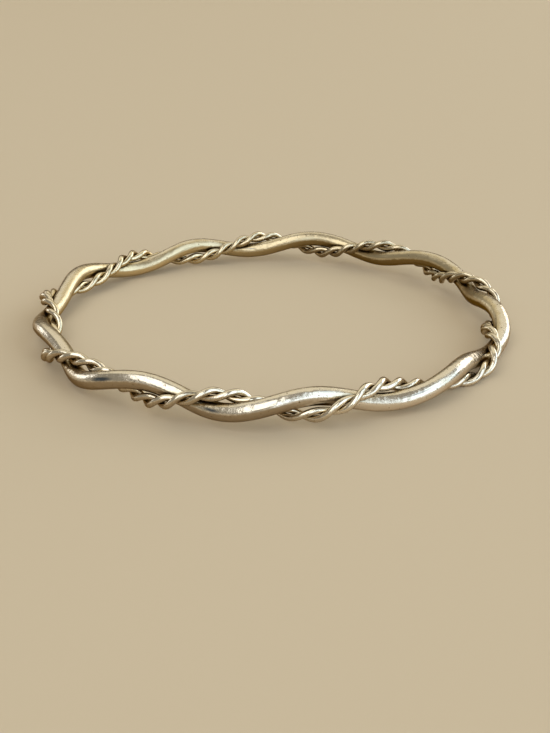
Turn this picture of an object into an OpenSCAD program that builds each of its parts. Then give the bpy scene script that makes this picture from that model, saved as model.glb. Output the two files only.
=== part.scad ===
// Twisted wire bangle: one heavy round wire and a rope of two fine round wires wind round the same
// core line, opposite each other. It lies flat, with the middle of its footprint at the origin.

/* [Bangle] */
// Diameter of the core line that every wire winds round
core_line_d = 68; // [50:0.5:90]
// Turns that the heavy wire and the rope make round the core line
bangle_turns = 9; // [6:1:12]
// Where the heavy wire stands in its turn at the +X side, in degrees from outward towards up
heavy_start = 117; // [0:1:360]

/* [Heavy wire] */
// Diameter of the heavy wire
heavy_wire_d = 2.5; // [1.5:0.1:4]
// Share of the distance between the heavy wire and the rope that is on the heavy wire's side
heavy_side_share = 0.41; // [0.3:0.01:0.7]

/* [Rope of two fine wires] */
// Diameter of each fine wire
fine_wire_d = 0.93; // [0.6:0.01:1.3]
// Turns that the two fine wires make round each other on the whole way round
rope_turns = 35; // [24:1:44]
// Where the first fine wire stands in its turn at the +X side, in degrees from outward towards up
rope_start = 205; // [0:5:360]

/* [Clearance] */
// Gap between two wires where they come closest
wire_gap = 0.05; // [0.03:0.01:0.2]

/* [Hand-made unevenness] */
// How much of the unevenness below is kept: 0 is a perfect twist
unevenness = 1; // [0:0.05:1.2]

/* [Smoothness] */
// Sides of the heavy wire's section
heavy_sides = 12; // [8:1:16]
// Sections of the heavy wire in each of its turns
heavy_sections_per_turn = 16; // [12:1:20]
// Sides of a fine wire's section
fine_sides = 8; // [6:1:10]
// Sections of a fine wire in each turn of the rope
fine_sections_per_turn = 10; // [10:1:14]

/* [Hidden] */

// Columns of the unevenness table
LEAD = 0;      // how far the heavy wire and the rope are ahead in their turn, as a share of a turn
LIFT = 1;      // height of the core line, as a share of the heavy wire's diameter
SPREAD = 2;    // widening of the core line's radius, as a share of the heavy wire's diameter
LEAN = 3;      // how far the rope is ahead of the heavy wire's opposite side, as a share of a turn
STAND_OFF = 4; // how far the rope stands off the heavy wire, as a share of the heavy wire's diameter
ROPE_LEAD = 5; // how far the fine wires are ahead in the rope's own turn, as a share of that turn

// Unevenness of the twist, with its rows spread evenly round the bangle from the +X side towards +Y
UNEVEN = [
    [-0.03, -0.01,  0.12,  0.01,  0.00, -0.20],
    [-0.03,  0.09,  0.07,  0.03,  0.00, -0.22],
    [-0.02,  0.16,  0.06,  0.03,  0.00, -0.15],
    [-0.02,  0.07,  0.00,  0.03,  0.00, -0.08],
    [-0.02,  0.13, -0.01,  0.03,  0.00, -0.05],
    [ 0.00, -0.04, -0.07,  0.03,  0.00,  0.02],
    [ 0.04, -0.11, -0.03, -0.01,  0.00,  0.10],
    [ 0.06, -0.11,  0.17, -0.03,  0.00,  0.11],
    [ 0.04,  0.09,  0.57, -0.03,  0.00,  0.09],
    [ 0.01,  0.00,  0.16, -0.04,  0.00,  0.18],
    [ 0.00, -0.19,  0.02,  0.00,  0.00,  0.10],
    [ 0.00, -0.06, -0.02,  0.01,  0.00,  0.14],
    [-0.01,  0.24, -0.15, -0.03,  0.00,  0.21],
    [ 0.00,  0.04, -0.08,  0.00,  0.00,  0.25],
    [ 0.01,  0.12, -0.07,  0.02,  0.06,  0.07],
    [ 0.02, -0.01,  0.06,  0.05,  0.03, -0.05],
    [-0.01, -0.18,  0.22, -0.06,  0.00, -0.04],
    [-0.03, -0.25,  0.14, -0.01,  0.00, -0.09],
];

// Angle on either side of a point over which a wire's direction is taken
direction_step = 0.25;

heavy_r = heavy_wire_d / 2;
fine_r = fine_wire_d / 2;

// A fine wire's sections are joined by straight stretches that cut inside its turn, so its offset
// from the rope's middle is larger by that much, and the gap to the other fine wire is kept
fine_offset = (fine_r + wire_gap / 2) / cos(180 / fine_sections_per_turn);
rope_r = fine_offset + fine_r;

// The heavy wire and the rope lie against each other, a gap apart, with the core line between them
strand_distance = heavy_r + rope_r + wire_gap;
heavy_offset = strand_distance * heavy_side_share;

heavy_sections = heavy_sections_per_turn * bangle_turns;
fine_sections = fine_sections_per_turn * rope_turns;

function unit(v) = v / norm(v);

// The part of v that is square to the unit vector t, at length 1
function square_to(v, t) = unit(v - (v * t) * t);

function cell(column, row) = UNEVEN[(row + len(UNEVEN)) % len(UNEVEN)][column];

// One column of the table at an angle round the bangle, on a smooth closed curve through its rows
function uneven(column, angle) =
    let (place = (angle + 360) % 360 / 360 * len(UNEVEN),
         row = floor(place),
         f = place - row,
         a = cell(column, row - 1),
         b = cell(column, row),
         c = cell(column, row + 1),
         d = cell(column, row + 2))
    unevenness * (b + f / 2 * (c - a + f * (2 * a - 5 * b + 4 * c - d + f * (3 * (b - c) + d - a))));

function outward(angle) = [cos(angle), sin(angle), 0];

// The core line's point at an angle round the bangle
function core_point(angle) =
    (core_line_d / 2 + heavy_wire_d * uneven(SPREAD, angle)) * outward(angle)
    + [0, 0, heavy_wire_d * uneven(LIFT, angle)];

// Where the heavy wire stands in its turn, in degrees from outward towards up
function heavy_turn(angle) = bangle_turns * angle + heavy_start + 360 * uneven(LEAD, angle);

// Points at a distance from a middle point, turned from outward towards up
function round_about(middle, distance, turn, angle) =
    middle + distance * (cos(turn) * outward(angle) + [0, 0, sin(turn)]);

function heavy_point(angle) = round_about(core_point(angle), heavy_offset, heavy_turn(angle), angle);

// The rope lies against the heavy wire, on the core line's other side but for its lean
function rope_point(angle) =
    round_about(heavy_point(angle), strand_distance + heavy_wire_d * uneven(STAND_OFF, angle),
                heavy_turn(angle) + 180 + 360 * uneven(LEAN, angle), angle);

function rope_direction(angle) =
    unit(rope_point(angle + direction_step) - rope_point(angle - direction_step));

// A fine wire's middle, where phase is 0 for the first fine wire and 180 for the second
function fine_point(angle, phase) =
    let (turn = rope_turns * angle + rope_start + 360 * uneven(ROPE_LEAD, angle) + phase,
         along = rope_direction(angle),
         out = square_to(outward(angle), along),
         up = cross(out, along))
    rope_point(angle) + fine_offset * (cos(turn) * out + sin(turn) * up);

// A round section of a wire, square to the line from the point before to the point after
function section(middle, before, after, angle, r, sides) =
    let (along = unit(after - before),
         out = square_to(outward(angle), along),
         side = cross(along, out))
    [for (j = [0 : sides - 1]) middle + r * (cos(360 * j / sides) * out + sin(360 * j / sides) * side)];

function heavy_rings() =
    [for (i = [0 : heavy_sections - 1])
        let (angle = 360 * i / heavy_sections,
             before = heavy_point(angle - direction_step),
             after = heavy_point(angle + direction_step))
        section(heavy_point(angle), before, after, angle, heavy_r, heavy_sides)];

function fine_rings(phase) =
    [for (i = [0 : fine_sections - 1])
        let (angle = 360 * i / fine_sections,
             before = fine_point(angle - direction_step, phase),
             after = fine_point(angle + direction_step, phase))
        section(fine_point(angle, phase), before, after, angle, fine_r, fine_sides)];

// Box round every wire, from which the bangle is set on its footprint's middle
all_rings = concat(heavy_rings(), fine_rings(0), fine_rings(180));
all_points = [for (ring = all_rings) each ring];
xs = [for (p = all_points) p.x];
ys = [for (p = all_points) p.y];
zs = [for (p = all_points) p.z];
footprint_middle = [(min(xs) + max(xs)) / 2, (min(ys) + max(ys)) / 2, min(zs)];

// A closed tube through rings of points, the last joined to the first
module closed_tube(rings) {
    ring_count = len(rings);
    sides = len(rings[0]);
    points = [for (ring = rings) each ring];
    faces = [for (i = [0 : ring_count - 1], j = [0 : sides - 1])
        let (here = i * sides,
             next = ((i + 1) % ring_count) * sides,
             k = (j + 1) % sides)
        each [[here + j, next + j, here + k], [here + k, next + j, next + k]]];
    translate(-footprint_middle) polyhedron(points, faces);
}

module heavy_wire() {
    color([0.80, 0.78, 0.74]) closed_tube(heavy_rings());
}

module fine_wire_a() {
    color([0.77, 0.73, 0.66]) closed_tube(fine_rings(0));
}

module fine_wire_b() {
    color([0.72, 0.68, 0.61]) closed_tube(fine_rings(180));
}

heavy_wire();
fine_wire_a();
fine_wire_b();
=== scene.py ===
import math

import bpy
import numpy as np
from mathutils import Matrix, Vector


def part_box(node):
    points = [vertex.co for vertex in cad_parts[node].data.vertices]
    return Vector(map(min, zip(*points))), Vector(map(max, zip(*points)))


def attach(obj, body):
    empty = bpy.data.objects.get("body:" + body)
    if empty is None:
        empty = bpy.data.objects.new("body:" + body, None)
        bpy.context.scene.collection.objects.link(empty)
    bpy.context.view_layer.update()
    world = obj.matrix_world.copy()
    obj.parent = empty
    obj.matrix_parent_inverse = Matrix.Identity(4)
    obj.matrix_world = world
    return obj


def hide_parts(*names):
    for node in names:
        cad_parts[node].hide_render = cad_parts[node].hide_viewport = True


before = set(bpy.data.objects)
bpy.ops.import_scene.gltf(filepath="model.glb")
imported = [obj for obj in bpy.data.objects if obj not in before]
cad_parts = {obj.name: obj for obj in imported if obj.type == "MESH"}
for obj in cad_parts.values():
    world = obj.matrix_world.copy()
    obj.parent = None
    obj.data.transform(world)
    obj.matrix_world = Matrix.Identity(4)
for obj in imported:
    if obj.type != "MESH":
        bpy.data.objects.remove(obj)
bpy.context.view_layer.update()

print("Twisted wire bangle: the frame is loaded")

# Sizes in metres, the same as in the construction model
bangle = dict(
    coreLineAcross=0.068,     # diameter of the line that every wire winds round
    turns=9,                  # turns of the heavy wire and the rope round that line
    heavyStart=117,           # degrees from outward towards up, at the +X side
    heavyAcross=0.0025,       # diameter of the heavy wire
    heavySideShare=0.41,      # share of the distance to the rope on the heavy wire's side
    fineAcross=0.00093,       # diameter of each fine wire
    ropeTurns=35,             # turns of the two fine wires round each other
    ropeStart=205,            # degrees from outward towards up, at the +X side
    ropeStep=0.25,            # degrees on either side over which the rope's direction is taken
    gap=0.00005,              # clear gap where two wires come closest
    fineSectionsPerTurn=10,   # the construction model's sections, which set the fine wires' offset
)

# Unevenness of the twist in even steps round the bangle: the twist's lead as a share of a turn, lift and
# spread as shares of the heavy wire's diameter, the rope's lean as a share of a turn, how far it stands
# off as a share of the heavy wire's diameter, and the fine wires' own lead as a share of the rope's turn
leadColumn, liftColumn, spreadColumn, leanColumn, standOffColumn, ropeLeadColumn = range(6)
unevenRows = np.array([
    [-0.03, -0.01,  0.12,  0.01,  0.00, -0.20],
    [-0.03,  0.09,  0.07,  0.03,  0.00, -0.22],
    [-0.02,  0.16,  0.06,  0.03,  0.00, -0.15],
    [-0.02,  0.07,  0.00,  0.03,  0.00, -0.08],
    [-0.02,  0.13, -0.01,  0.03,  0.00, -0.05],
    [ 0.00, -0.04, -0.07,  0.03,  0.00,  0.02],
    [ 0.04, -0.11, -0.03, -0.01,  0.00,  0.10],
    [ 0.06, -0.11,  0.17, -0.03,  0.00,  0.11],
    [ 0.04,  0.09,  0.57, -0.03,  0.00,  0.09],
    [ 0.01,  0.00,  0.16, -0.04,  0.00,  0.18],
    [ 0.00, -0.19,  0.02,  0.00,  0.00,  0.10],
    [ 0.00, -0.06, -0.02,  0.01,  0.00,  0.14],
    [-0.01,  0.24, -0.15, -0.03,  0.00,  0.21],
    [ 0.00,  0.04, -0.08,  0.00,  0.00,  0.25],
    [ 0.01,  0.12, -0.07,  0.02,  0.06,  0.07],
    [ 0.02, -0.01,  0.06,  0.05,  0.03, -0.05],
    [-0.01, -0.18,  0.22, -0.06,  0.00, -0.04],
    [-0.03, -0.25,  0.14, -0.01,  0.00, -0.09],
])

coreRadius = bangle["coreLineAcross"] / 2
heavyRadius = bangle["heavyAcross"] / 2
fineRadius = bangle["fineAcross"] / 2
fineOffset = (fineRadius + bangle["gap"] / 2) / math.cos(math.pi / bangle["fineSectionsPerTurn"])
strandDistance = heavyRadius + fineOffset + fineRadius + bangle["gap"]
heavyOffset = strandDistance * bangle["heavySideShare"]
upwards = np.array([0.0, 0.0, 1.0])


def uneven(column, angle):
    # Closed smooth curve through one column of the table, each stretch a cubic between two rows
    rows = unevenRows[:, column]
    place = (angle % 360) / 360 * len(rows)
    row = np.floor(place).astype(int)
    f = place - row
    a, b, c, d = (rows[(row + step) % len(rows)] for step in (-1, 0, 1, 2))
    return b + f / 2 * (c - a + f * (2 * a - 5 * b + 4 * c - d + f * (3 * (b - c) + d - a)))


def unit(v):
    return v / np.linalg.norm(v, axis=-1, keepdims=True)


def squareTo(v, along):
    # What is left of v when its share along the wire is taken off, at length 1
    return unit(v - (v * along).sum(-1, keepdims=True) * along)


def outward(angle):
    t = np.radians(angle)
    return np.stack([np.cos(t), np.sin(t), np.zeros_like(t)], -1)


def heavyTurn(angle):
    # Where the heavy wire stands in its turn, in degrees from outward towards up
    return bangle["turns"] * angle + bangle["heavyStart"] + 360 * uneven(leadColumn, angle)


def aside(distance, turn, angle):
    # Step over a distance, in the direction that is so many degrees from outward towards up
    turn = np.radians(turn)[..., None]
    return distance * (np.cos(turn) * outward(angle) + np.sin(turn) * upwards)


def heavyLine(angle):
    # The core line, which spreads and lifts, plus an offset that turns as the angle goes round
    radius = coreRadius + bangle["heavyAcross"] * uneven(spreadColumn, angle)
    lift = bangle["heavyAcross"] * uneven(liftColumn, angle)
    core = radius[..., None] * outward(angle) + lift[..., None] * upwards
    return core + aside(heavyOffset, heavyTurn(angle), angle)


def ropeLine(angle):
    # The heavy wire's line, plus the way back across the core line, leaned and stood off
    distance = strandDistance + bangle["heavyAcross"] * uneven(standOffColumn, angle)
    turn = heavyTurn(angle) + 180 + 360 * uneven(leanColumn, angle)
    return heavyLine(angle) + aside(distance[..., None], turn, angle)


def direction(line, angle, step=0.05):
    # From the point so many degrees before to the point so many degrees after, at length 1
    return unit(line(angle + step) - line(angle - step))


def fineLine(angle, phase):
    # The rope's line, plus an offset that turns round it, square to the rope
    along = direction(ropeLine, angle, bangle["ropeStep"])
    out = squareTo(outward(angle), along)
    up = np.cross(out, along)
    turn = bangle["ropeTurns"] * angle + bangle["ropeStart"] + 360 * uneven(ropeLeadColumn, angle) + phase
    turn = np.radians(turn)[..., None]
    return ropeLine(angle) + fineOffset * (np.cos(turn) * out + np.sin(turn) * up)


def fineLineA(angle):
    return fineLine(angle, 0)


def fineLineB(angle):
    return fineLine(angle, 180)


# The construction model stands on its footprint's middle, so the lines are moved until the middle of
# the heavy wire's line, sampled at every tenth of a degree, is in the middle of that wire's box
heavyLow, heavyHigh = (np.array(corner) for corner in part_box("heavy_wire"))
heavyPoints = heavyLine(np.linspace(0, 360, 3600, endpoint=False))
lineMiddle = (heavyPoints.min(0) + heavyPoints.max(0)) / 2
place = (heavyLow + heavyHigh) / 2 - lineMiddle
print("Place of the core line's middle, in mm:", np.round(place * 1000, 3))


def waves(angle, around, seed):
    # Sum of a few sines that close round the bangle and round the wire, from -1 to 1
    t, s = np.radians(angle), np.radians(around)
    total = (np.sin(7 * t + 2 * s + seed) + np.sin(17 * t - s + 2.3 * seed)
             + np.sin(29 * t + 3 * s + 0.7 * seed) + 0.6 * np.sin(53 * t - 2 * s + 1.9 * seed)
             + 0.4 * np.sin(97 * t + s + 3.1 * seed))
    return total / 4


def crossAxes(line, angle):
    # Outward and upward directions square to a wire
    along = direction(line, angle)
    out = squareTo(outward(angle), along)
    return out, np.cross(out, along)


def dentDepth(points, line, radius, dents):
    # Sum of the dents, each a bell-shaped dip about one point of the wire's surface
    depth = np.zeros(points.shape[:2])
    for dentAngle, dentAround, width, deepest in dents:
        angle = np.array([float(dentAngle)])
        out, up = crossAxes(line, angle)
        turn = math.radians(dentAround)
        middle = line(angle) + radius * (math.cos(turn) * out + math.sin(turn) * up)
        depth += deepest * np.exp(-((points - middle) ** 2).sum(-1) / width ** 2)
    return depth


# Steps in degrees round the bangle at which the parts of other wires near a point are looked for
nearbySteps = np.linspace(-5, 5, 41)


def grooveDepth(points, normal, angle, reach, others):
    # How deep in a groove each point lies: 1 where it touches another wire and faces it, and less with
    # the distance and with the angle that the surface turns away, times that wire's share; the cream film
    # and the painted groove shade follow it
    deepest = np.zeros(points.shape[:2])
    for otherLine, otherRadius, tarnishAndShade in others:
        for step in nearbySteps:
            toOther = otherLine(angle + step)[:, None, :] - points
            distance = np.linalg.norm(toOther, axis=-1)
            facing = 0.5 + 0.5 * (toOther * normal).sum(-1) / distance
            nearness = np.exp(-np.maximum(distance - otherRadius, 0) / reach)
            deepest = np.maximum(deepest, tarnishAndShade * facing * nearness)
    return deepest


def turnBetween(angle, middle):
    # The short way round from the middle to the angle, both in degrees, given in radians
    return np.radians((angle - middle + 180) % 360 - 180)


def stainStrength(angle, around, radius, stains):
    # Bell-shaped patches, drawn out along the wire; the strongest one counts at each point
    strongest = np.zeros(np.broadcast_shapes(angle.shape, around.shape))
    for stainAngle, stainAround, length, width, strength in stains:
        alongWire = turnBetween(angle, stainAngle) * coreRadius
        roundWire = turnBetween(around, stainAround) * radius
        patch = np.exp(-(alongWire / length) ** 2 - (roundWire / width) ** 2)
        strongest = np.maximum(strongest, strength * patch)
    return strongest


def closedMesh(name, points, amounts, grainPlace):
    # Four-sided faces between each point and the next ones along and round, closed both ways
    count, sides = points.shape[:2]
    i = np.arange(count)[:, None]
    j = np.arange(sides)[None, :]
    iNext, jNext = (i + 1) % count, (j + 1) % sides
    quads = np.stack(np.broadcast_arrays(i * sides + j, i * sides + jNext,
                                         iNext * sides + jNext, iNext * sides + j), -1).reshape(-1, 4)
    mesh = bpy.data.meshes.new(name)
    mesh.vertices.add(count * sides)
    mesh.vertices.foreach_set("co", points.astype(np.float32).ravel())
    mesh.loops.add(quads.size)
    mesh.loops.foreach_set("vertex_index", quads.astype(np.int32).ravel())
    mesh.polygons.add(len(quads))
    mesh.polygons.foreach_set("loop_start", np.arange(0, quads.size, 4, dtype=np.int32))
    mesh.polygons.foreach_set("use_smooth", np.ones(len(quads), bool))
    mesh.update(calc_edges=True)
    for attribute, values in amounts.items():
        layer = mesh.attributes.new(attribute, "FLOAT", "POINT")
        layer.data.foreach_set("value", np.ascontiguousarray(values, np.float32).ravel())
    layer = mesh.attributes.new("grainPlace", "FLOAT_VECTOR", "POINT")
    layer.data.foreach_set("vector", np.ascontiguousarray(grainPlace, np.float32).ravel())
    return mesh


def closedTube(name, line, radius, look, seed, others):
    # Wire: its line, plus the radius times a circle square to the line; the last section meets the first
    angle = np.linspace(0, 360, look["sections"], endpoint=False)[:, None]
    around = np.linspace(0, 360, look["sides"], endpoint=False)[None, :]
    t, s = np.radians(angle), np.radians(around)
    out, up = crossAxes(line, angle[:, 0])
    normal = np.cos(s)[..., None] * out[:, None, :] + np.sin(s)[..., None] * up[:, None, :]
    points = line(angle[:, 0])[:, None, :] + radius * normal
    raised = look["waviness"] * waves(angle, around, seed) - dentDepth(points, line, radius, look["dents"])
    points = points + raised[..., None] * normal
    # Place on the wire for a pattern that is drawn out along it and closes round the bangle
    grainPlace = np.stack(np.broadcast_arrays(radius * np.cos(s), radius * np.sin(s),
                                              coreRadius * np.cos(t)), -1)
    amounts = dict(
        recess=grooveDepth(points, normal, angle[:, 0], look["grooveReach"], others),
        under=0.5 - 0.5 * normal[..., 2],
        inner=0.5 - 0.5 * (normal * outward(angle)).sum(-1),
        stain=stainStrength(angle, around, radius, look["stains"]),
        grainTurn=np.broadcast_to(coreRadius * np.sin(t), points.shape[:2]),
    )
    wire = bpy.data.objects.new(name, closedMesh(name, points + place, amounts, grainPlace))
    bpy.context.scene.collection.objects.link(wire)
    return wire


# What a user would change on the heavy wire
heavyLook = dict(
    sections=2160,       # sections round the bangle
    sides=36,            # sides of each section
    waviness=0.000018,   # depth of the slow hand-drawn waves in its surface
    grooveReach=0.0006,  # how far from the other wires the cream film and painted shade of a groove reach
    # Dents: degrees round the bangle, degrees from outward towards up, width and depth
    dents=[
        (266, 40, 0.00045, 0.00005),
        (272, 60, 0.00035, 0.00005),
        (278, 75, 0.00030, 0.00004),
        (255, -20, 0.00040, 0.00003),
        (300, 20, 0.00035, 0.00004),
        (232, 60, 0.00030, 0.00004),
        (215, 30, 0.00040, 0.00003),
        (20, 30, 0.00040, 0.00004),
        (95, 150, 0.00045, 0.00004),
        (140, 110, 0.00040, 0.00004),
    ],
    # Blue-grey stains: degrees round the bangle, degrees from outward towards up, length, width, strength
    stains=[
        (230.6, 22, 0.0016, 0.00030, 1.0),
        (257.6, 26, 0.0013, 0.00016, 1.0),
        (253.5, 34, 0.0014, 0.00020, 0.5),
        (281.5, 52, 0.0020, 0.00014, 0.5),
        (303.0, 40, 0.0024, 0.00016, 0.5),
        (246.0, -8, 0.0018, 0.00016, 0.5),
        (96.0, 150, 0.0016, 0.00020, 0.6),
        (148.0, 120, 0.0014, 0.00018, 0.5),
    ],
)

heavyWire = closedTube("heavyWire", heavyLine, heavyRadius, heavyLook, seed=1.0,
                       others=[(fineLineA, fineRadius, 1.0), (fineLineB, fineRadius, 1.0)])
print("Heavy wire made,", len(heavyWire.data.polygons), "faces")

# What a user would change on the two fine wires
fineLook = dict(
    sections=4320,
    sides=20,
    waviness=0.000006,
    grooveReach=0.0003,
    ropeTarnishAndShade=0.72,       # share of cream film and painted shade between the two, where a groove beside the heavy wire holds 1
    dents=[],
    stains=[],
)

ropeTarnishAndShade = fineLook["ropeTarnishAndShade"]
fineWireA = closedTube("fineWireA", fineLineA, fineRadius, fineLook, seed=2.0,
                       others=[(heavyLine, heavyRadius, 1.0), (fineLineB, fineRadius, ropeTarnishAndShade)])
fineWireB = closedTube("fineWireB", fineLineB, fineRadius, fineLook, seed=3.0,
                       others=[(heavyLine, heavyRadius, 1.0), (fineLineA, fineRadius, ropeTarnishAndShade)])
print("Fine wires made,", len(fineWireA.data.polygons), "faces each")


def groupOf(name, colours, amounts, outputs):
    # Shader node group with colour and number inputs; returns it with its input and output nodes
    group = bpy.data.node_groups.new(name, "ShaderNodeTree")
    for sockets, kind in ((colours, "NodeSocketColor"), (amounts, "NodeSocketFloat")):
        for socket in sockets:
            group.interface.new_socket(socket, in_out="INPUT", socket_type=kind)
    for socket, kind in outputs:
        group.interface.new_socket(socket, in_out="OUTPUT", socket_type=kind)
    return group, group.nodes.new("NodeGroupInput"), group.nodes.new("NodeGroupOutput")


def mathNode(tree, operation, first, second, clamp=False):
    # Math node whose inputs are links or plain numbers
    made = tree.nodes.new("ShaderNodeMath")
    made.operation = operation
    made.use_clamp = clamp
    for socket, value in ((made.inputs[0], first), (made.inputs[1], second)):
        if isinstance(value, (int, float)):
            socket.default_value = value
        else:
            tree.links.new(value, socket)
    return made.outputs[0]


def mixColours(tree, factor, first, second):
    # First colour where the factor is 0 and second where it is 1; sockets 6, 7 and 2 are the colour ones
    made = tree.nodes.new("ShaderNodeMix")
    made.data_type = "RGBA"
    tree.links.new(factor, made.inputs["Factor"])
    for socket, value in ((made.inputs[6], first), (made.inputs[7], second)):
        if isinstance(value, tuple):
            socket.default_value = value
        else:
            tree.links.new(value, socket)
    return made.outputs[2]


def noiseNode(tree, vector, scale, detail, roughness, turn=None):
    # Noise in three dimensions, or in four where a turn is given
    made = tree.nodes.new("ShaderNodeTexNoise")
    made.noise_dimensions = "3D" if turn is None else "4D"
    if isinstance(scale, (int, float)):
        made.inputs["Scale"].default_value = scale
    else:
        tree.links.new(scale, made.inputs["Scale"])
    made.inputs["Detail"].default_value = detail
    made.inputs["Roughness"].default_value = roughness
    tree.links.new(vector, made.inputs["Vector"])
    if turn is not None:
        tree.links.new(turn, made.inputs["W"])
    return made.outputs["Fac"]


def rampNode(tree, value, edge):
    # 0 below the edge's first value, 1 above its second, smooth between
    made = tree.nodes.new("ShaderNodeMapRange")
    made.interpolation_type = "SMOOTHSTEP"
    made.inputs["From Min"].default_value = edge[0]
    made.inputs["From Max"].default_value = edge[1]
    tree.links.new(value, made.inputs["Value"])
    return made.outputs["Result"]


def unevenRamp(tree, value, noise, amount, edge):
    # Ramp over an edge that a noise from 0 to 1 shifts by up to half the amount either way
    shift = mathNode(tree, "MULTIPLY", mathNode(tree, "SUBTRACT", noise, 0.5), amount)
    return rampNode(tree, mathNode(tree, "ADD", value, shift), edge)


def attributeNode(tree, name):
    made = tree.nodes.new("ShaderNodeAttribute")
    made.attribute_name = name
    return made


# What a user would change on how the films, the painted shade and the painted reflections lie on the silver
shadeAndFilmPattern = dict(
    blotchScale=420,
    smudgeScale=1500,
    speckScale=5200,
    creamEdge=(0.0, 0.5),          # in depth of the groove
    creamUneven=0.8,
    insideEdge=(0.5, 0.8),         # from 0 on the ring's outer side to 1 on its inner side
    insideUneven=0.5,
    lowerEdge=(0.33, 0.47),        # from 0 on top of a wire to 1 on its underside, where the painted under shade lies
    lowerUneven=0.16,
    lowerDrop=0.06,                # how much lower the painted under shade begins inside the ring
    grooveEdge=(0.23, 0.52),       # in depth of the groove, where the painted groove shade begins
    grooveUneven=0.25,
    stainEdge=(0.15, 0.75),
    stainUneven=0.3,
    deeperEdge=(-0.022, 0.014),    # metres along X where the painted shade inside the ring grows deeper
    palerEdge=(0.0, 0.012),        # metres along X where the painted under shade outside the ring gives way to a painted pale reflection
    palerUneven=0.01,
    hazeEdge=(0.52, 0.72),
    hazeAmount=0.15,
    hazeColour=(0.42, 0.36, 0.26, 1),
    smudgeEdge=(0.4, 0.7),
    filmDulls=0.6,                 # shares of the way from the bright roughness to the film's
    smudgeDulls=0.5,
)


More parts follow.
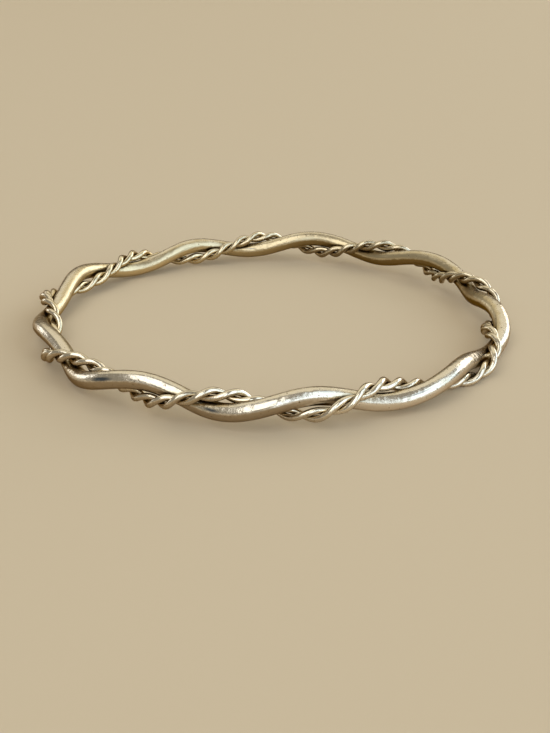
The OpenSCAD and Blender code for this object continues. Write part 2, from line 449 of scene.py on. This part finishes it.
def makeTarnishAndPaintedShade():
    # Colour and roughness of worn silver: bright metal, cream film beside the grooves, yellow film inside
    # the ring, stains, painted shade and painted floor reflections on the underside and, towards +X, inside
    # the ring, and painted shade in the grooves
    group, given, result = groupOf(
        "tarnishAndPaintedShade",
        # The under, inner under and deep colours are painted shade and painted floor reflections, the pale
        # under colour a painted pale reflection and the dark colour painted shade in the grooves
        ["Silver", "Cream Film", "Inner Film", "Under Painted Shade", "Pale Under Painted Reflection", "Inner Under Painted Shade",
         "Deep Painted Shade", "Painted Groove Shade", "Stain"],
        # The deep inner, under and dark amounts set how strong the painted shade is
        ["Cream Amount", "Inner Amount", "Deep Inner Shade Amount", "Under Shade Amount", "Groove Shade Amount",
         "Roughness Bright", "Roughness Film"],
        [("Color", "NodeSocketColor"), ("Roughness", "NodeSocketFloat")])
    look = given.outputs
    pattern = shadeAndFilmPattern
    coordinates = group.nodes.new("ShaderNodeTexCoord").outputs["Object"]
    recess, under, inner, stain = (attributeNode(group, name).outputs["Fac"]
                                   for name in ("recess", "under", "inner", "stain"))
    blotch = noiseNode(group, coordinates, pattern["blotchScale"], detail=4, roughness=0.6)
    smudge = noiseNode(group, coordinates, pattern["smudgeScale"], detail=4, roughness=0.65)
    speck = noiseNode(group, coordinates, pattern["speckScale"], detail=2, roughness=0.6)

    # Where each film and each painted shade or reflection lies
    cream = unevenRamp(group, recess, blotch, pattern["creamUneven"], pattern["creamEdge"])
    cream = mathNode(group, "MULTIPLY", cream, look["Cream Amount"], clamp=True)
    inside = unevenRamp(group, inner, blotch, pattern["insideUneven"], pattern["insideEdge"])
    innerFilm = mathNode(group, "MULTIPLY", inside, look["Inner Amount"], clamp=True)
    # Painted shade and painted floor reflection on the underside, starting lower inside the ring
    lowered = mathNode(group, "SUBTRACT", under, mathNode(group, "MULTIPLY", inside, pattern["lowerDrop"]))
    underShade = unevenRamp(group, lowered, smudge, pattern["lowerUneven"], pattern["lowerEdge"])
    underShade = mathNode(group, "MULTIPLY", underShade, look["Under Shade Amount"], clamp=True)
    # Painted shade in the grooves where the wires come close
    grooveShade = unevenRamp(group, recess, smudge, pattern["grooveUneven"], pattern["grooveEdge"])
    grooveShade = mathNode(group, "MULTIPLY", grooveShade, look["Groove Shade Amount"], clamp=True)
    stained = unevenRamp(group, stain, smudge, pattern["stainUneven"], pattern["stainEdge"])
    haze = mathNode(group, "MULTIPLY", rampNode(group, speck, pattern["hazeEdge"]), pattern["hazeAmount"])

    # Towards the +X side the painted shade inside the ring grows deeper, and outside it the painted under
    # shade gives way to a painted pale reflection
    axes = group.nodes.new("ShaderNodeSeparateXYZ")
    group.links.new(coordinates, axes.inputs["Vector"])
    deeperShade = rampNode(group, axes.outputs["X"], pattern["deeperEdge"])
    paleReflection = unevenRamp(group, axes.outputs["X"], blotch, pattern["palerUneven"], pattern["palerEdge"])
    # Painted shade that darkens the inner film and the inner underside towards +X
    deepInner = mathNode(group, "MULTIPLY", deeperShade, look["Deep Inner Shade Amount"])
    innerColour = mixColours(group, deepInner, look["Inner Film"], look["Deep Painted Shade"])
    innerUnder = mixColours(group, deeperShade, look["Inner Under Painted Shade"], look["Deep Painted Shade"])
    # Outside the ring a painted pale reflection takes the place of the painted under shade towards +X
    outerUnder = mixColours(group, paleReflection, look["Under Painted Shade"], look["Pale Under Painted Reflection"])
    underShadeColour = mixColours(group, inside, outerUnder, innerUnder)

    # The films, the painted shade and the painted reflections one over the other, with a thin grey haze in
    # small specks over them all
    colour = look["Silver"]
    for amount, filmAndShade in ((cream, look["Cream Film"]), (innerFilm, innerColour), (stained, look["Stain"]),
                         (underShade, underShadeColour), (grooveShade, look["Painted Groove Shade"]), (haze, pattern["hazeColour"])):
        colour = mixColours(group, amount, colour, filmAndShade)
    group.links.new(colour, result.inputs["Color"])

    filmAndShade = mathNode(group, "MAXIMUM", mathNode(group, "MAXIMUM", innerFilm, underShade), grooveShade)
    dulled = mathNode(group, "MULTIPLY", filmAndShade, pattern["filmDulls"])
    smudged = rampNode(group, smudge, pattern["smudgeEdge"])
    smudged = mathNode(group, "MULTIPLY", smudged, pattern["smudgeDulls"])
    worn = mathNode(group, "ADD", dulled, smudged, clamp=True)
    span = mathNode(group, "SUBTRACT", look["Roughness Film"], look["Roughness Bright"])
    rough = mathNode(group, "ADD", look["Roughness Bright"], mathNode(group, "MULTIPLY", worn, span))
    group.links.new(rough, result.inputs["Roughness"])
    return group


# What a user would change on how the relief of a drawn wire is spread
surfacePattern = dict(
    lineStretch=16,        # the lines are this much longer along the wire than across it
    pitScale=3400,
    pitEdge=(0.70, 0.78),
    rippleScale=900,
    grainScale=9000,
)


def makeDrawnSurface():
    # Relief of a drawn and worn wire: lines along it, small pits, slow ripples and a fine grain
    group, given, result = groupOf(
        "drawnSurface", [], ["Line Scale", "Line Depth", "Pit Depth", "Ripple Depth", "Grain Depth"],
        [("Height", "NodeSocketFloat"), ("Pits", "NodeSocketFloat")])
    look = given.outputs
    pattern = surfacePattern
    coordinates = group.nodes.new("ShaderNodeTexCoord").outputs["Object"]
    drawn = group.nodes.new("ShaderNodeMapping")
    drawn.inputs["Scale"].default_value = (1, 1, 1 / pattern["lineStretch"])
    group.links.new(attributeNode(group, "grainPlace").outputs["Vector"], drawn.inputs["Vector"])
    turn = attributeNode(group, "grainTurn").outputs["Fac"]
    turn = mathNode(group, "DIVIDE", turn, pattern["lineStretch"])
    lines = noiseNode(group, drawn.outputs["Vector"], look["Line Scale"], detail=2, roughness=0.6,
                      turn=turn)
    pits = noiseNode(group, coordinates, pattern["pitScale"], detail=1, roughness=0.4)
    pits = rampNode(group, pits, pattern["pitEdge"])
    ripple = noiseNode(group, coordinates, pattern["rippleScale"], detail=2, roughness=0.5)
    grain = noiseNode(group, coordinates, pattern["grainScale"], detail=2, roughness=0.6)
    height = mathNode(group, "MULTIPLY", lines, look["Line Depth"])
    height = mathNode(group, "SUBTRACT", height, mathNode(group, "MULTIPLY", pits, look["Pit Depth"]))
    height = mathNode(group, "ADD", height, mathNode(group, "MULTIPLY", ripple, look["Ripple Depth"]))
    height = mathNode(group, "ADD", height, mathNode(group, "MULTIPLY", grain, look["Grain Depth"]))
    group.links.new(height, result.inputs["Height"])
    group.links.new(pits, result.inputs["Pits"])
    return group


tarnishAndPaintedShade = makeTarnishAndPaintedShade()
drawnSurface = makeDrawnSurface()


def placeGroup(tree, group, values):
    # Node that holds the group, with its inputs set
    made = tree.nodes.new("ShaderNodeGroup")
    made.node_tree = group
    for socket, value in values.items():
        made.inputs[socket].default_value = value
    return made


def wornSilver(name, look):
    # Metal whose colour and roughness come from the tarnish film with its painted shade, and whose relief
    # comes from the drawn surface
    material = bpy.data.materials.new(name)
    material.use_nodes = True
    tree = material.node_tree
    shader = tree.nodes["Principled BSDF"]
    shader.inputs["Metallic"].default_value = 1.0
    shader.inputs["Specular Tint"].default_value = look["edgeTint"]
    filmAndShade = placeGroup(tree, tarnishAndPaintedShade, look["filmAndShade"])
    surface = placeGroup(tree, drawnSurface, look["surface"])
    bump = tree.nodes.new("ShaderNodeBump")
    bump.inputs["Distance"].default_value = look["reliefDepth"]
    tree.links.new(surface.outputs["Height"], bump.inputs["Height"])
    tree.links.new(bump.outputs["Normal"], shader.inputs["Normal"])
    pitted = mixColours(tree, surface.outputs["Pits"], filmAndShade.outputs["Color"], look["pitColour"])
    tree.links.new(pitted, shader.inputs["Base Color"])
    tree.links.new(filmAndShade.outputs["Roughness"], shader.inputs["Roughness"])
    return material


# What a user would change on the heavy wire's silver
heavySilver = wornSilver("heavyWireSilver", dict(
    filmAndShade={
        "Silver": (0.88, 0.84, 0.78, 1),
        "Cream Film": (0.80, 0.71, 0.50, 1),
        "Inner Film": (0.68, 0.57, 0.34, 1),
        # The under, inner under and deep colours are painted shade and painted floor reflections, the pale
        # under colour a painted pale reflection and the dark colour painted shade in the grooves
        "Under Painted Shade": (0.38, 0.29, 0.19, 1),
        "Pale Under Painted Reflection": (0.78, 0.68, 0.56, 1),
        "Inner Under Painted Shade": (0.68, 0.53, 0.30, 1),
        "Deep Painted Shade": (0.20, 0.125, 0.032, 1),
        "Painted Groove Shade": (0.045, 0.024, 0.004, 1),
        "Stain": (0.16, 0.20, 0.26, 1),
        "Cream Amount": 0.85,
        "Inner Amount": 0.7,
        # The deep inner, under and dark amounts set how strong the painted shade is
        "Deep Inner Shade Amount": 0.1,
        "Under Shade Amount": 0.95,
        "Groove Shade Amount": 0.95,
        "Roughness Bright": 0.20,
        "Roughness Film": 0.38,
    },
    surface={
        "Line Scale": 2800,
        "Line Depth": 2.4,
        "Pit Depth": 0.7,
        "Ripple Depth": 4.0,
        "Grain Depth": 0.12,
    },
    reliefDepth=0.00002,
    pitColour=(0.22, 0.15, 0.08, 1),
    edgeTint=(0.45, 0.36, 0.25, 1),   # colour of the metal where it is seen edge-on
))

# What a user would change on the fine wires' silver
fineSilver = wornSilver("fineWireSilver", dict(
    filmAndShade={
        "Silver": (0.92, 0.87, 0.78, 1),
        "Cream Film": (0.78, 0.64, 0.38, 1),
        "Inner Film": (0.74, 0.62, 0.36, 1),
        # The under, inner under and deep colours are painted shade and painted floor reflections, the pale
        # under colour a painted pale reflection and the dark colour painted shade in the grooves
        "Under Painted Shade": (0.42, 0.32, 0.20, 1),
        "Pale Under Painted Reflection": (0.76, 0.66, 0.52, 1),
        "Inner Under Painted Shade": (0.62, 0.47, 0.24, 1),
        "Deep Painted Shade": (0.16, 0.10, 0.03, 1),
        "Painted Groove Shade": (0.035, 0.016, 0.002, 1),
        "Stain": (0.16, 0.20, 0.26, 1),
        "Cream Amount": 0.9,
        "Inner Amount": 0.5,
        # The deep inner, under and dark amounts set how strong the painted shade is
        "Deep Inner Shade Amount": 0.4,
        "Under Shade Amount": 0.85,
        "Groove Shade Amount": 0.97,
        "Roughness Bright": 0.15,
        "Roughness Film": 0.34,
    },
    surface={
        "Line Scale": 2400,
        "Line Depth": 3.0,
        "Pit Depth": 0.4,
        "Ripple Depth": 2.0,
        "Grain Depth": 0.05,
    },
    reliefDepth=0.00002,
    pitColour=(0.25, 0.17, 0.08, 1),
    edgeTint=(0.45, 0.36, 0.25, 1),
))

for wire, node, silver, slotName in (
        (heavyWire, "heavy_wire", heavySilver, "heavy_wire_silver"),
        (fineWireA, "fine_wire_a", fineSilver, "fine_wire_silver"),
        (fineWireB, "fine_wire_b", fineSilver, "fine_wire_silver")):
    wire.data.materials.append(silver)
    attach(wire, "root")
    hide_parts(node)
print("Silver laid on all three wires")


# What a user would change on the floor and the light
stage = dict(
    floorHalf=8.0,
    floorColour=(0.68, 0.58, 0.45, 1),
    floorRoughness=0.85,
    lightDistance=2.4,
    # Soft boxes: name, degrees to the viewer's right, degrees from overhead towards the viewer,
    # degrees that it looks wide and high from the bangle, brightness, colour
    lights=[
        ("keySoftBox", -16, 38, 38, 66, 1.42, (1.0, 0.96, 0.85)),
        ("stripSoftBox", 15, 66, 12, 48, 1.7, (0.84, 0.96, 1.0)),
        ("windowSoftBox", 47, 42, 31, 72, 1.22, (0.81, 0.94, 1.0)),
        ("skySoftBox", 73, 26, 20, 84, 1.2, (0.74, 0.92, 1.0)),
        ("backRightSoftBox", 46, -68, 38, 30, 2.1, (1.0, 0.98, 0.90)),
        ("backLeftSoftBox", -54, -72, 18, 22, 1.6, (1.0, 0.98, 0.90)),
        ("topSoftBox", 0, -40, 76, 52, 0.55, (1.0, 0.90, 0.64)),
    ],
    worldColour=(1.0, 0.88, 0.66, 1),
    worldStrength=0.25,
)


def makeFloor():
    half = stage["floorHalf"]
    corners = [(-half, -half, 0), (half, -half, 0), (half, half, 0), (-half, half, 0)]
    mesh = bpy.data.meshes.new("floor")
    mesh.from_pydata(corners, [], [(0, 1, 2, 3)])
    floor = bpy.data.objects.new("floor", mesh)
    bpy.context.scene.collection.objects.link(floor)
    paint = bpy.data.materials.new("palePaint")
    paint.use_nodes = True
    shader = paint.node_tree.nodes["Principled BSDF"]
    shader.inputs["Base Color"].default_value = stage["floorColour"]
    shader.inputs["Roughness"].default_value = stage["floorRoughness"]
    mesh.materials.append(paint)


def makeLights():
    distance = stage["lightDistance"]
    for name, toRight, toViewer, wide, high, brightness, colour in stage["lights"]:
        side, tip = math.radians(toRight), math.radians(toViewer)
        sideways = Vector((math.cos(side), math.sin(side) * math.sin(tip), -math.sin(side) * math.cos(tip)))
        back = Vector((math.sin(side), -math.cos(side) * math.sin(tip), math.cos(side) * math.cos(tip)))
        light = bpy.data.lights.new(name, "AREA")
        light.shape = "RECTANGLE"
        light.size = 2 * distance * math.tan(math.radians(wide / 2))
        light.size_y = 2 * distance * math.tan(math.radians(high / 2))
        # The power that makes a lamp of this area look this bright
        light.energy = brightness * math.pi * light.size * light.size_y
        light.color = colour
        lamp = bpy.data.objects.new(name, light)
        # The lamp shines along its own -Z, with its width along its X
        turned = Matrix([sideways, back.cross(sideways), back]).transposed().to_4x4()
        lamp.matrix_world = Matrix.Translation(back * distance) @ turned
        bpy.context.scene.collection.objects.link(lamp)
    world = bpy.data.worlds.new("studio")
    world.use_nodes = True
    background = world.node_tree.nodes["Background"]
    background.inputs["Color"].default_value = stage["worldColour"]
    background.inputs["Strength"].default_value = stage["worldStrength"]
    bpy.context.scene.world = world


# The photograph's viewpoint, measured from the middle of the core line
viewpoint = dict(
    distance=0.1767,
    elevation=21.2,        # degrees above the floor's plane
    focalPixels=1138,      # focal length in the picture's pixels
    pictureWidth=550,
    pictureHeight=733,
    middleColumn=271.4,    # pixel that the core line's middle falls on
    middleRow=311.6,
    roll=-0.4,
    sensor=36,             # millimetres, along the picture's height
    clipStart=0.005,
    clipEnd=20,
)


def makeCamera():
    # Looks at the core line's middle, then is turned so that the middle falls on its pixel
    raised = math.radians(viewpoint["elevation"])
    spot = viewpoint["distance"] * np.array([0, -math.cos(raised), math.sin(raised)])
    forward = -spot / np.linalg.norm(spot)
    right = np.array([1.0, 0, 0])
    down = np.cross(forward, right)
    looking = Matrix([right, down, forward])
    focal = viewpoint["focalPixels"]
    aim = unit(np.array([(viewpoint["middleColumn"] - viewpoint["pictureWidth"] / 2) / focal,
                         (viewpoint["middleRow"] - viewpoint["pictureHeight"] / 2) / focal, 1.0]))
    pan = Matrix.Rotation(math.atan2(aim[0], aim[2]), 3, "Y")
    tilt = Matrix.Rotation(-math.asin(aim[1]), 3, "X")
    roll = Matrix.Rotation(math.radians(viewpoint["roll"]), 3, "Z")
    right, down, forward = roll @ pan @ tilt @ looking
    lens = bpy.data.cameras.new("camera")
    lens.sensor_width = viewpoint["sensor"]
    lens.lens = focal * viewpoint["sensor"] / viewpoint["pictureHeight"]
    lens.clip_start = viewpoint["clipStart"]
    lens.clip_end = viewpoint["clipEnd"]
    camera = bpy.data.objects.new("camera", lens)
    turned = Matrix([right, -down, -forward]).transposed().to_4x4()
    camera.matrix_world = Matrix.Translation(Vector(spot + place)) @ turned
    bpy.context.scene.collection.objects.link(camera)
    bpy.context.scene.camera = camera


makeFloor()
makeLights()
makeCamera()
bpy.context.scene.view_settings.view_transform = "Standard"
print("Floor, lights and camera in place")
